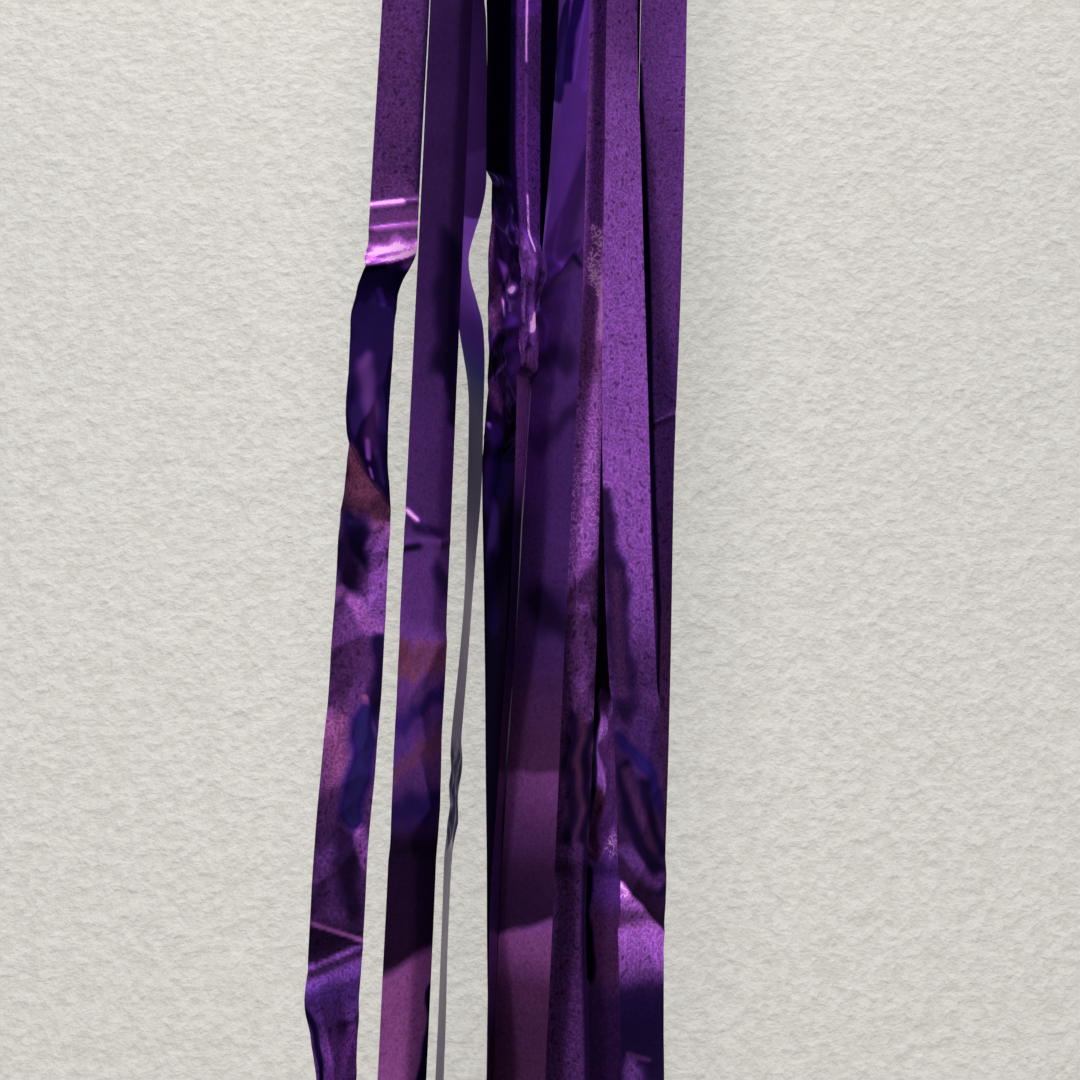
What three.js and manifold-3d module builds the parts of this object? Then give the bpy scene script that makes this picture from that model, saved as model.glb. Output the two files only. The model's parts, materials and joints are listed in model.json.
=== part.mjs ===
// Cheer pom pom: eleven strips of metallised film hang in two overlapping rows from a moulded
// stirrup handle. Two half shells form the handle. Their lower bar is a clamp: three screws squeeze
// the film's header tapes between two rubber pads. The upper bar carries a split foam grip.
// Every strip swings about the lower edge of its own header tape, on its own.
//
// Millimetres, +Z up, +X to the right, -Y to the front. The origin is the middle of the grip's
// underside, where a peg or a hand holds the pom pom up.
import * as THREE from "three";
import { mergeVertices } from "three/addons/utils/BufferGeometryUtils.js";
import Module from "manifold-3d";

const wasm = await Module();
wasm.setup();

// ---------------------------------------------------------------- driving dimensions
const GAP = 0.3; // between pieces that touch
const FILM_WIDTH = 12.7; // half-inch film
const FILM_THICKNESS = 0.5; // stands for film of 0.05 mm
const STREAMER_LENGTH = 385;
const SEGMENTS = 60; // along a streamer
const HANDLE_WIDTH = 108;
const HANDLE_DEPTH = 20;
const POST_WIDTH = 13;
const FINGER_GAP = 27; // from the grip's underside down to the clamp bar
const CLAMP_HEIGHT = 17;
const GRIP_HEIGHT = 24; // the grip's oval section
const GRIP_DEPTH = 19;
const FOAM_THICKNESS = 3;
const ROW_PITCH = 2.6; // front to back, between the header tapes
const TAPE = { width: 88, height: 13, thickness: ROW_PITCH - GAP };
const PAD = { width: 88, height: 12, thickness: 0.9 };
const SCREW = { radius: 1.5, headRadius: 2.9, headHeight: 1.9, length: 15.5, spacing: 28 };

// ---------------------------------------------------------------- places worked out from them
const HALF_DEPTH = HANDLE_DEPTH / 2;
const CLAMP_TOP = -FINGER_GAP;
const CLAMP_BOTTOM = CLAMP_TOP - CLAMP_HEIGHT;
const GRIP_AXIS_Z = GRIP_HEIGHT / 2;
const HANDLE_TOP = GRIP_HEIGHT;
const POST_INNER = HANDLE_WIDTH / 2 - POST_WIDTH;
const TAPE_BOTTOM = CLAMP_BOTTOM - 0.5;
const TAPE_Z = TAPE_BOTTOM + TAPE.height / 2;
const STREAMER_TOP = TAPE_BOTTOM - 0.5;
const PAD_Y = ROW_PITCH + GAP / 2 + PAD.thickness / 2;
const CAVITY_HALF_DEPTH = PAD_Y + PAD.thickness / 2 + GAP;
const CLAMP_SCREW_Z = TAPE_Z + 0.5;
const POST_SCREW = { x: HANDLE_WIDTH / 2 - POST_WIDTH / 2, z: HANDLE_TOP - POST_WIDTH / 2 };
const COUNTERBORE = { radius: SCREW.headRadius + 0.5, depth: SCREW.headHeight + 0.6 };
const SCREW_HOLE = SCREW.radius + GAP;
const HEAD_SEAT_Y = -HALF_DEPTH + COUNTERBORE.depth - GAP;

// ---------------------------------------------------------------- materials
const plastic = new THREE.MeshStandardMaterial({ color: 0x3a1663, roughness: 0.3, metalness: 0 });
const foam = new THREE.MeshStandardMaterial({ color: 0x18161c, roughness: 0.9, metalness: 0 });
const rubber = new THREE.MeshStandardMaterial({ color: 0x222024, roughness: 0.8, metalness: 0 });
const tape = new THREE.MeshStandardMaterial({ color: 0xcfcbd2, roughness: 0.6, metalness: 0 });
const steel = new THREE.MeshStandardMaterial({ color: 0xb9bcc2, roughness: 0.3, metalness: 1 });
const film = new THREE.MeshStandardMaterial({ color: 0x52207a, roughness: 0.25, metalness: 0.9 });

// ---------------------------------------------------------------- helpers
const pompom = new THREE.Group();

function solidOf(geometry) {
  const bare = geometry.clone();
  bare.deleteAttribute("normal");
  bare.deleteAttribute("uv");
  const merged = mergeVertices(bare, 1e-4);
  return new wasm.Manifold(
    new wasm.Mesh({
      numProp: 3,
      vertProperties: merged.attributes.position.array,
      triVerts: new Uint32Array(merged.index.array),
    }),
  );
}

function geometryOf(solid) {
  const mesh = solid.getMesh();
  const geometry = new THREE.BufferGeometry();
  geometry.setAttribute("position", new THREE.BufferAttribute(mesh.vertProperties, 3));
  geometry.setIndex(new THREE.BufferAttribute(mesh.triVerts, 1));
  geometry.computeVertexNormals();
  return geometry;
}

function add(name, geometry, material) {
  const mesh = new THREE.Mesh(geometry, material);
  mesh.name = name;
  pompom.add(mesh);
  return mesh;
}

function box(width, depth, height, x, y, z) {
  return solidOf(new THREE.BoxGeometry(width, depth, height).translate(x, y, z));
}

// A cylinder along Y, as a screw hole is, from one Y to another.
function holeAlongY(radius, x, z, fromY, toY) {
  const length = toY - fromY;
  return solidOf(new THREE.CylinderGeometry(radius, radius, length, 24).translate(x, fromY + length / 2, z));
}

// An oval bar along X.
function ovalBar(depth, height, length) {
  const bar = new THREE.CylinderGeometry(0.5, 0.5, length, 28).rotateZ(Math.PI / 2);
  return solidOf(bar.scale(1, depth, height).translate(0, 0, GRIP_AXIS_Z));
}

// ---------------------------------------------------------------- handle shells
// Front view of the stirrup: two posts with round tops, joined by the clamp bar.
function stirrupOutline() {
  const outer = HANDLE_WIDTH / 2;
  const foot = 6;
  const postRadius = POST_WIDTH / 2;
  const fillet = 8;
  const shape = new THREE.Shape();
  shape.moveTo(-outer + foot, CLAMP_BOTTOM);
  shape.absarc(outer - foot, CLAMP_BOTTOM + foot, foot, -Math.PI / 2, 0, false);
  shape.absarc(outer - postRadius, HANDLE_TOP - postRadius, postRadius, 0, Math.PI, false);
  shape.absarc(POST_INNER - fillet, CLAMP_TOP + fillet, fillet, 0, -Math.PI / 2, true);
  shape.absarc(-POST_INNER + fillet, CLAMP_TOP + fillet, fillet, -Math.PI / 2, -Math.PI, true);
  shape.absarc(-outer + postRadius, HANDLE_TOP - postRadius, postRadius, 0, Math.PI, false);
  shape.absarc(-outer + foot, CLAMP_BOTTOM + foot, foot, Math.PI, 1.5 * Math.PI, false);
  return shape;
}

// The whole handle before it is parted: the rounded stirrup, the grip's core, and the cavities.
function wholeHandle() {
  const round = 1.8;
  const body = new THREE.ExtrudeGeometry(stirrupOutline(), {
    depth: HANDLE_DEPTH - 2 * round,
    bevelThickness: round,
    bevelSize: round,
    bevelOffset: -round,
    bevelSegments: 4,
    curveSegments: 8,
  });
  body.translate(0, 0, round - HALF_DEPTH).rotateX(Math.PI / 2);
  const core = ovalBar(GRIP_DEPTH - 2 * FOAM_THICKNESS, GRIP_HEIGHT - 2 * FOAM_THICKNESS, 2 * POST_INNER + 6);
  const cavityHeight = TAPE.height + 2;
  const cavity = box(
    TAPE.width + 2 * GAP, 2 * CAVITY_HALF_DEPTH, cavityHeight,
    0, 0, TAPE_BOTTOM + cavityHeight / 2 + GAP - 1.5,
  );
  return solidOf(body).add(core).subtract(cavity);
}

// Pockets that core out the posts from the parting plane, as in a moulding.
function postPockets() {
  const height = 26;
  const depth = HANDLE_DEPTH - 2 * 3;
  const pocket = (side) => box(POST_WIDTH - 5, depth, height, side * POST_SCREW.x, 0, -4);
  return pocket(-1).add(pocket(1));
}

const screwPlaces = [
  { name: "clamp_screw_left", x: -SCREW.spacing, z: CLAMP_SCREW_Z },
  { name: "clamp_screw_centre", x: 0, z: CLAMP_SCREW_Z },
  { name: "clamp_screw_right", x: SCREW.spacing, z: CLAMP_SCREW_Z },
  { name: "post_screw_left", x: -POST_SCREW.x, z: POST_SCREW.z },
  { name: "post_screw_right", x: POST_SCREW.x, z: POST_SCREW.z },
];

function screwHoles(fromY, toY, radius, places = screwPlaces) {
  return places
    .map(({ x, z }) => holeAlongY(radius, x, z, fromY, toY))
    .reduce((all, hole) => all.add(hole));
}

function handleHalf(side) {
  const far = HALF_DEPTH + 1;
  const keepFrom = side < 0 ? -far : GAP / 2;
  const keepTo = side < 0 ? -GAP / 2 : far;
  const half = box(HANDLE_WIDTH + 2, keepTo - keepFrom, 200, 0, (keepFrom + keepTo) / 2, 0);
  return wholeHandle().subtract(postPockets()).intersect(half);
}

function frontShell() {
  return handleHalf(-1)
    .subtract(screwHoles(-HALF_DEPTH - 1, 1, SCREW_HOLE))
    .subtract(screwHoles(-HALF_DEPTH - 1, -HALF_DEPTH + COUNTERBORE.depth, COUNTERBORE.radius));
}

function rearShell() {
  const blindEnd = HEAD_SEAT_Y + SCREW.length + 0.8;
  return handleHalf(1).subtract(screwHoles(-1, blindEnd, SCREW_HOLE));
}

add("handle_front_shell", geometryOf(frontShell()), plastic);
add("handle_rear_shell", geometryOf(rearShell()), plastic);

// ---------------------------------------------------------------- foam grip
// A ribbed sleeve, slit along its rear underside so that it can be pulled over the grip's core.
function gripSleeve() {
  const length = 2 * POST_INNER - 2 * GAP;
  const ribs = 5;
  const ribDepth = 0.7;
  const steps = 30;
  const profile = [];
  const coreRadius = GRIP_HEIGHT / 2 - FOAM_THICKNESS + GAP;
  for (let i = 0; i <= steps; i++) {
    const t = i / steps;
    const taper = Math.min(1, 12 * Math.min(t, 1 - t)) ** 0.5;
    const wave = ribDepth * (0.5 - 0.5 * Math.cos(2 * Math.PI * ribs * t));
    const radius = GRIP_HEIGHT / 2 - 1.6 * (1 - taper) - ribDepth + wave;
    profile.push(new THREE.Vector2(radius, (t - 0.5) * length));
  }
  profile.push(new THREE.Vector2(coreRadius, length / 2));
  profile.push(new THREE.Vector2(coreRadius, -length / 2));
  profile.push(profile[0].clone());
  const coreDepth = GRIP_DEPTH - 2 * FOAM_THICKNESS;
  const coreHeight = GRIP_HEIGHT - 2 * FOAM_THICKNESS;
  const sleeve = new THREE.LatheGeometry(profile, 28).rotateZ(Math.PI / 2);
  sleeve.scale(1, GRIP_DEPTH / GRIP_HEIGHT, 1).translate(0, 0, GRIP_AXIS_Z);
  const clearance = ovalBar(coreDepth + 2 * GAP, coreHeight + 2 * GAP, length + 2);
  const slit = solidOf(new THREE.BoxGeometry(length + 2, 0.8, 20).translate(0, 0, -10).rotateX(0.7));
  return solidOf(sleeve).subtract(clearance).subtract(slit.translate([0, 0, GRIP_AXIS_Z]));
}
add("grip_sleeve", geometryOf(gripSleeve()), foam);

// ---------------------------------------------------------------- clamp pads and header tapes
const clampPlaces = screwPlaces.slice(0, 3);

function punchedStrip({ width, height, thickness }, y) {
  const strip = box(width, thickness, height, 0, y, TAPE_Z);
  return geometryOf(strip.subtract(screwHoles(y - 5, y + 5, SCREW_HOLE, clampPlaces)));
}
add("front_clamp_pad", punchedStrip(PAD, -PAD_Y), rubber);
add("rear_clamp_pad", punchedStrip(PAD, PAD_Y), rubber);

const ROW_Y = { front: -ROW_PITCH / 2, rear: ROW_PITCH / 2 };
for (const [row, y] of Object.entries(ROW_Y)) {
  add(row + "_header_tape", punchedStrip(TAPE, y), tape);
}

// ---------------------------------------------------------------- screws
// Pan head with a cross recess, its shank along +Y into the rear shell.
function screw() {
  const { radius, headRadius, headHeight, length } = SCREW;
  const points = [
    [0, -headHeight],
    [headRadius * 0.55, -headHeight * 0.96],
    [headRadius * 0.88, -headHeight * 0.7],
    [headRadius, -headHeight * 0.3],
    [headRadius, 0],
    [radius, 0],
    [radius, length - 2],
    [radius * 0.45, length],
    [0, length],
  ];
  const turned = new THREE.LatheGeometry(points.map(([r, y]) => new THREE.Vector2(r, y)), 24);
  const recess = [0, Math.PI / 2]
    .map((angle) => solidOf(new THREE.BoxGeometry(3.2, 1.1, 0.75).rotateY(angle)))
    .reduce((cross, slot) => cross.add(slot))
    .translate([0, -headHeight, 0]);
  return solidOf(turned).subtract(recess);
}
for (const { name, x, z } of screwPlaces) {
  add(name, geometryOf(screw()), steel).position.set(x, HEAD_SEAT_Y, z);
}

// ---------------------------------------------------------------- streamers
// Each station is [distance down, across, depth, turn in degrees]. A positive turn swings the right
// edge away from the front. Every strip leaves its header tape flat and in its row. Strips of one
// row never share an X at the same distance down, so each can swing past its neighbours.
const FRONT_ROW = [
  [
    [0, -35.4], [60, -34.6, -6, 0], [107, -34.9, -6, 0], [135, -35, -6, 8], [142, -37, -6, 46],
    [147, -38.5, -6, 45], [155, -39.6, -6, 40], [176, -39.7, -6, 41], [188, -39.2, -6, 43],
    [204, -38.4, -6, 22], [214, -38.3, -6, 0], [244, -38.4, -6, 0], [264, -39.3, -6, 12],
    [290, -40, -6, 5], [313, -40.1, -6, 18], [321, -40.4, -6, 16], [327, -39.6, -6, 40],
    [339, -39, -6, 56], [385, -39.5, -6, 40],
  ],
  [
    [0, -22.2], [25, -22.2, -3.5, 18], [60, -22.2, -6, 32], [227, -22.6, -6, 31], [300, -22.8, -6, 32],
    [385, -23.2, -6, 35],
  ],
  [
    [0, -3.5], [60, -2.6, -7, 51], [107, -1.6, -8, 52], [149, 0.2, -9, 66], [189, -0.2, -9.5, 78],
    [227, -0.8, -9.5, 82], [264, -2.1, -9.5, 82], [300, -2.9, -9.5, 80], [339, -3, -9.5, 85],
    [385, -3.4, -9.5, 82],
  ],
  [
    [0, 11.5], [60, 11.2, -5, -50], [107, 10.5, -5.5, -43], [149, 9.3, -6, -27], [189, 7.9, -6, -20],
    [227, 6.8, -6, -19], [264, 5.8, -6, -11], [300, 5.1, -6, -8], [339, 4.45, -6, -17],
    [385, 4.3, -6, -14],
  ],
  [
    [0, 25.2], [60, 24.1, -5, 49], [107, 25, -5.5, 40], [149, 25.9, -6, 29], [189, 27.1, -6, 20],
    [227, 28.6, -6, 20], [264, 31, -6, 26], [300, 32.4, -6, 29], [339, 33.4, -6, 38], [385, 34, -6, 25],
  ],
];
const REAR_ROW = [
  [
    [0, -28.8], [25, -26, 4, 20], [60, -19.5, 8, 33], [107, -17.9, 8, 33], [129, -18.8, 8, 71],
    [149, -15.2, 8, 60], [173, -12.8, 8, 75], [189, -12.5, 8, 76], [227, -13.1, 8, 84],
    [264, -14.9, 8, 82], [300, -15.7, 8, 86], [385, -15.5, 8, 84],
  ],
  [
    [0, -15.6], [25, -13.2, 2, 18], [60, -7.7, 2.5, 27], [107, -6.2, 2.5, 29], [149, -5, 2.5, 31],
    [189, -4.5, 2.5, 31], [227, -3.4, 2.5, 43], [264, -2, 2.5, 46], [300, -0.6, 2.5, 48],
    [339, 0.5, 2.5, 52], [385, 1, 2.5, 52],
  ],
  [
    [0, -2.4], [25, -0.6, 4, 24], [60, 4.1, 9, 36], [107, 4.9, 9, 44], [149, 4.9, 9, 57],
    [189, 4, 9, 67], [227, 3.4, 9, 78], [264, 4, 9, 81], [300, 5.3, 9, 82], [339, 6.3, 9, 82],
    [385, 6.8, 9, 82],
  ],
  [
    [0, 10.8], [25, 12.7, 2.6, -28], [60, 15.25, 4, -36], [107, 15.35, 4, -34], [149, 14.8, 4, -26],
    [189, 13.95, 4, -12], [227, 13.8, 4, -7], [264, 13.3, 4, -9], [300, 12.8, 4, -27],
    [339, 14.2, 4, -13], [385, 14.7, 4, -13],
  ],
  [
    [0, 24], [25, 24.6, 4, -42], [60, 25, 9, -56], [149, 25, 9, -56], [189, 24.6, 9, -57],
    [227, 24.3, 9, -57], [264, 23.8, 9, -56], [300, 23.4, 9, -51], [339, 25.2, 9, -52],
    [385, 25.6, 9, -52],
  ],
  [
    [0, 37.2], [25, 36.8, 2.6, 0], [60, 35.9, 4, -4], [107, 35.7, 4, -20], [149, 35.2, 4, -26],
    [189, 34.3, 4, -31], [227, 34, 4, -30], [264, 33.6, 4, -31], [300, 33.3, 4, -39],
    [339, 34.4, 4, -46], [385, 34.9, 4, -44],
  ],
];

// A smooth curve through [position, value] pairs that never overshoots them.
function curveThrough(pairs) {
  const slopes = pairs.slice(1).map(([x, y], i) => (y - pairs[i][1]) / (x - pairs[i][0]));
  const tangents = pairs.map((_, i) => {
    const [before, after] = [slopes[i - 1] ?? slopes[0], slopes[i] ?? slopes[slopes.length - 1]];
    return before * after > 0 ? (2 * before * after) / (before + after) : 0;
  });
  return (x) => {
    const last = pairs.length - 2;
    const found = pairs.findIndex(([edge]) => edge > x) - 1;
    const i = found < 0 ? last : Math.min(found, last);
    const width = pairs[i + 1][0] - pairs[i][0];
    const t = (x - pairs[i][0]) / width;
    const rise = pairs[i + 1][1] - pairs[i][1];
    const ease = t * t * (3 - 2 * t);
    const start = t * (1 - t) * (1 - t) * width * tangents[i];
    const end = t * t * (t - 1) * width * tangents[i + 1];
    return pairs[i][1] + ease * rise + start + end;
  };
}

// A flat strip whose two broad faces are cut into triangles along the same diagonals, so that the
// film keeps its thickness where it twists.
function flatStrip() {
  const strip = new THREE.BoxGeometry(FILM_WIDTH, FILM_THICKNESS, STREAMER_LENGTH, 1, 1, SEGMENTS);
  const frontFace = strip.groups[3];
  const corners = strip.index;
  for (let i = frontFace.start; i < frontFace.start + frontFace.count; i += 6) {
    const [a, b, c, d] = [corners.getX(i), corners.getX(i + 1), corners.getX(i + 4), corners.getX(i + 5)];
    [a, b, c, a, c, d].forEach((corner, k) => corners.setX(i + k, corner));
  }
  return strip;
}

// A flat strip bent and turned to its stations.
function streamer(stations, rowY) {
  const across = curveThrough(stations.map(([down, x]) => [down, x]));
  const depth = curveThrough(stations.map(([down, , y = rowY]) => [down, y]));
  const turn = curveThrough(stations.map(([down, , , degrees = 0]) => [down, degrees]));
  const strip = flatStrip();
  const vertices = strip.attributes.position;
  for (let i = 0; i < vertices.count; i++) {
    const down = STREAMER_LENGTH / 2 - vertices.getZ(i);
    const angle = THREE.MathUtils.degToRad(turn(down));
    const [along, through] = [vertices.getX(i), vertices.getY(i)];
    vertices.setXYZ(
      i,
      across(down) + along * Math.cos(angle) - through * Math.sin(angle),
      depth(down) + along * Math.sin(angle) + through * Math.cos(angle),
      STREAMER_TOP - down,
    );
  }
  return strip;
}

FRONT_ROW.forEach((stations, i) => add(`front_streamer_${i + 1}`, streamer(stations, ROW_Y.front), film));
REAR_ROW.forEach((stations, i) => add(`rear_streamer_${i + 1}`, streamer(stations, ROW_Y.rear), film));

export default pompom;
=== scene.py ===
"""A hanging cheer pom pom of purple metallised film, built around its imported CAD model."""
import json
import math

import bpy
import numpy as np
from mathutils import Matrix, Vector


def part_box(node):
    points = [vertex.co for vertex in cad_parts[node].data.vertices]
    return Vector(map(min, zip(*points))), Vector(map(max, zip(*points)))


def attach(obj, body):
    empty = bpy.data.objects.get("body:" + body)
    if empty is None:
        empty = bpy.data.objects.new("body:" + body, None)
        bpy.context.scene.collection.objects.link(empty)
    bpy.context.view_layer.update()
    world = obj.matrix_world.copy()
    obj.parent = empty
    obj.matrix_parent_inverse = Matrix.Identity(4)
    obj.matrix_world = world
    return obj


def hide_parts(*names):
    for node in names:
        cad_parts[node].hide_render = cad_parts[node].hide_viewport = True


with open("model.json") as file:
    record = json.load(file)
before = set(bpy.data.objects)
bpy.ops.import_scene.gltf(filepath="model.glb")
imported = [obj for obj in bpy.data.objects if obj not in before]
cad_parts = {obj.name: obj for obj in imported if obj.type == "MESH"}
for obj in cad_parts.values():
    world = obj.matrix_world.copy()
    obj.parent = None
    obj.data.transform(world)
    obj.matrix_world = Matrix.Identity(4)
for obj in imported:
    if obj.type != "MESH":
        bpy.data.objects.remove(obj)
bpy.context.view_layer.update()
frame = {"nodes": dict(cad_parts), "record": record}

MM = 0.001
FILM_WIDTH = 12.7  # mm
FILM_ROWS, FILM_COLUMNS = 701, 33  # the film's grid, down and across
FREE_BELOW = 50  # mm down, where a film's shift and turn away from its CAD strip are complete
WALL_Y, FLOOR_Z = 1.15, -1.15  # m, clear of the streamers at every pose
ROOM_GAIN = 4.0  # the room's colour ramps stop at 1, so they hold its brightness over this
LAYERS = ("shade", "tint", "grain")  # the film's vertex attributes
STREAMERS = sorted(n for n in frame["nodes"] if "streamer" in n)
HEADER_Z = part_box("front_header_tape")[0].z


# ---------------------------------------------------------------- camera
def make_camera():
    """Straight on, close, and looking up a little at the middle of the streamers."""
    pitch, roll, distance = math.radians(9), math.radians(1.6), 0.300
    aim = Vector((0.0054, 0, HEADER_Z - 0.2095))  # the middle of the streamers that show
    forward = Vector((0, math.cos(pitch), math.sin(pitch)))
    level = Vector((1, 0, 0))
    up = level.cross(forward)
    right = math.cos(roll) * level + math.sin(roll) * up
    tilted_up = math.cos(roll) * up - math.sin(roll) * level
    data = bpy.data.cameras.new("camera")
    data.lens, data.sensor_width = 39.37, 36
    data.clip_start = 0.01
    camera = bpy.data.objects.new("camera", data)
    bpy.context.scene.collection.objects.link(camera)
    turn = Matrix((right, tilted_up, -forward)).transposed().to_4x4()
    camera.matrix_world = Matrix.Translation(aim - distance * forward) @ turn
    bpy.context.scene.camera = camera


make_camera()


# ---------------------------------------------------------------- shader helpers
class Shader:
    """Adds nodes to one material or world, and links them. Inputs are numbers, colours or sockets."""

    def __init__(self, owner):
        owner.use_nodes = True
        self.tree = owner.node_tree
        self.tree.nodes.clear()

    def add(self, kind, inputs=(), **settings):
        node = self.tree.nodes.new("ShaderNode" + kind)
        for name, value in settings.items():
            setattr(node, name, value)
        for name, value in dict(inputs).items():
            self.feed(node.inputs[name], value)
        return node

    def feed(self, socket, value):
        if isinstance(value, bpy.types.NodeSocket):
            self.tree.links.new(value, socket)
        else:
            socket.default_value = value

    def math(self, operation, a, b=0.0):
        return self.add("Math", {0: a, 1: b}, operation=operation).outputs[0]

    def plus(self, a, b):
        return self.math("ADD", a, b)

    def minus(self, a, b):
        return self.math("SUBTRACT", a, b)

    def times(self, a, b):
        return self.math("MULTIPLY", a, b)

    def between(self, value, low, high):
        """0 below low, 1 above high, and smooth between."""
        node = self.add("MapRange", {"Value": value, "From Min": low, "From Max": high})
        node.interpolation_type = "SMOOTHSTEP"
        return node.outputs["Result"]

    def mix(self, share, a, b, blend="MIX"):
        node = self.add("Mix", data_type="RGBA", blend_type=blend)
        self.feed(node.inputs[0], share)
        self.feed(node.inputs[6], a)
        self.feed(node.inputs[7], b)
        return node.outputs[2]

    def ramp(self, value, stops):
        node = self.add("ValToRGB", {"Fac": value})
        elements = node.color_ramp.elements
        while len(elements) < len(stops):
            elements.new(0.5)
        for element, (position, colour) in zip(elements, stops):
            element.position, element.color = position, (*colour, 1)
        return node.outputs["Color"]

    def noise(self, vector, scale, detail=2.0, roughness=0.5):
        """Cloudy noise, about 0 to 1, with a scale in patches per unit."""
        inputs = {"Vector": vector, "Scale": scale, "Detail": detail, "Roughness": roughness}
        return self.add("TexNoise", inputs).outputs["Fac"]

    def millimetres(self, stretch=(1, 1, 1)):
        """The piece's own coordinates in millimetres, stretched along each axis."""
        place = self.add("TexCoord").outputs["Object"]
        scale = tuple(1000 / s for s in stretch)
        return self.add("VectorMath", {0: place, 1: scale}, operation="MULTIPLY").outputs[0]

    def bump(self, height, distance):
        inputs = {"Height": height, "Distance": distance, "Strength": 1.0}
        return self.add("Bump", inputs).outputs["Normal"]

    def surface(self, inputs):
        shader = self.add("BsdfPrincipled", inputs)
        output = self.add("OutputMaterial")
        self.tree.links.new(shader.outputs[0], output.inputs["Surface"])


def new_material(name):
    material = bpy.data.materials.new(name)
    return material, Shader(material)


# ---------------------------------------------------------------- materials
def film_material():
    """Metallised film: a tinted mirror, pebbled with winding pale ridges round small dark pits, the
    ridges' paleness and the pits' darkness being painted light and shade of the embossing; its colour
    also carries painted reflections, shade and pale pink highlights.
    """
    material, sh = new_material("metallic_film")
    shade, tint, grain = (sh.add("Attribute", attribute_name=name).outputs["Fac"] for name in LAYERS)
    place = sh.millimetres((1, 1, 1.2))
    swirl = sh.noise(place, 0.93, 1.0, 0.4)
    off_middle = sh.math("ABSOLUTE", sh.minus(swirl, 0.5))
    ridges = sh.minus(1.0, sh.between(off_middle, 0.0, 0.08))
    pits = sh.minus(1.0, sh.between(swirl, 0.27, 0.38))
    colour = sh.ramp(tint, [
        (0.0, (0.30, 0.28, 0.42)),
        (0.25, (0.085, 0.035, 0.56)),
        (0.5, (0.33, 0.095, 0.59)),
        (0.75, (0.44, 0.115, 0.48)),
        (1.0, (0.52, 0.13, 0.22)),
    ])
    # Painted light and shade of the embossing: darker in the pits, paler on the ridges.
    dark = sh.times(pits, sh.times(grain, 0.42))
    pale = sh.times(ridges, sh.times(grain, 0.7))
    cloud = sh.times(sh.noise(place, 0.09, 3.0), 0.35)
    variation = sh.minus(sh.plus(sh.plus(0.84, pale), cloud), sh.plus(dark, 0.15))
    # shade paints the film's reflections and shade into its colour.
    level = sh.times(variation, shade)
    tinted = sh.add("VectorMath", {0: colour}, operation="SCALE")
    sh.feed(tinted.inputs["Scale"], level)
    # Painted highlight: where the painted brightness is high, the colour turns pale pink and loses its
    # metal, so it shows bright under any lamp.
    painted_glint = sh.between(level, 1.9, 2.7)
    height = sh.minus(sh.times(sh.noise(place, 0.5, 2.0), 0.35), sh.times(pits, grain))
    sh.surface({
        "Base Color": sh.mix(painted_glint, tinted.outputs[0], (1.0, 0.5, 0.98, 1)),
        "Metallic": sh.minus(0.66, sh.times(painted_glint, 0.6)),
        "Roughness": sh.plus(0.12, sh.times(grain, 0.14)),
        "Specular IOR Level": 0.12,
        "Specular Tint": (0.36, 0.29, 0.43, 1),
        "Normal": sh.bump(height, 0.000025),
    })
    return material


def plastic_material():
    """Glossy violet moulding with faint flow marks, a spark-eroded grain and handling scuffs."""
    material, sh = new_material("handle_plastic")
    place = sh.millimetres()
    flow = sh.noise(sh.millimetres((6, 1, 1.5)), 0.12, 4.0, 0.6)
    grain = sh.noise(place, 3.2, 2.0)
    scuffs = sh.between(sh.noise(sh.millimetres((1, 1, 9)), 0.9, 4.0, 0.7), 0.58, 0.74)
    colour = sh.mix(flow, (0.070, 0.014, 0.165, 1), (0.105, 0.024, 0.235, 1))
    colour = sh.mix(sh.times(scuffs, 0.25), colour, (0.22, 0.12, 0.36, 1))
    height = sh.plus(grain, sh.times(scuffs, -0.6))
    sh.surface({
        "Base Color": colour,
        "Roughness": sh.plus(0.24, sh.plus(sh.times(scuffs, 0.22), sh.times(grain, 0.1))),
        "Coat Weight": 0.35,
        "Coat Roughness": 0.12,
        "Normal": sh.bump(height, 0.000022),
    })
    return material


def foam_material():
    """Black closed-cell foam, full of small pores."""
    material, sh = new_material("grip_foam")
    place = sh.millimetres()
    pores = sh.add("TexVoronoi", {"Vector": place, "Scale": 2.1}, feature="F1").outputs["Distance"]
    here_and_there = sh.between(sh.noise(place, 1.1, 1.0), 0.42, 0.55)
    open_pores = sh.times(sh.minus(1.0, sh.between(pores, 0.1, 0.34)), here_and_there)
    cloud = sh.noise(place, 0.16, 3.0)
    colour = sh.mix(cloud, (0.014, 0.012, 0.018, 1), (0.036, 0.032, 0.044, 1))
    # Painted shade in the open pores: they are darkened nearly to black as well as dented in.
    colour = sh.mix(open_pores, colour, (0.004, 0.004, 0.005, 1))
    height = sh.plus(sh.times(open_pores, -1.0), sh.times(sh.noise(place, 4.5, 3.0), 0.35))
    sh.surface({
        "Base Color": colour,
        "Roughness": sh.plus(0.66, sh.times(cloud, 0.2)),
        "Sheen Weight": 0.3,
        "Sheen Roughness": 0.5,
        "Normal": sh.bump(height, 0.00012),
    })
    return material


def rubber_material():
    """Matt black rubber with a fine speckle."""
    material, sh = new_material("clamp_rubber")
    speckle = sh.noise(sh.millimetres(), 2.5, 3.0)
    sh.surface({
        "Base Color": sh.mix(speckle, (0.018, 0.018, 0.02, 1), (0.045, 0.044, 0.048, 1)),
        "Roughness": sh.plus(0.55, sh.times(speckle, 0.2)),
        "Normal": sh.bump(speckle, 0.00004),
    })
    return material


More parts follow.
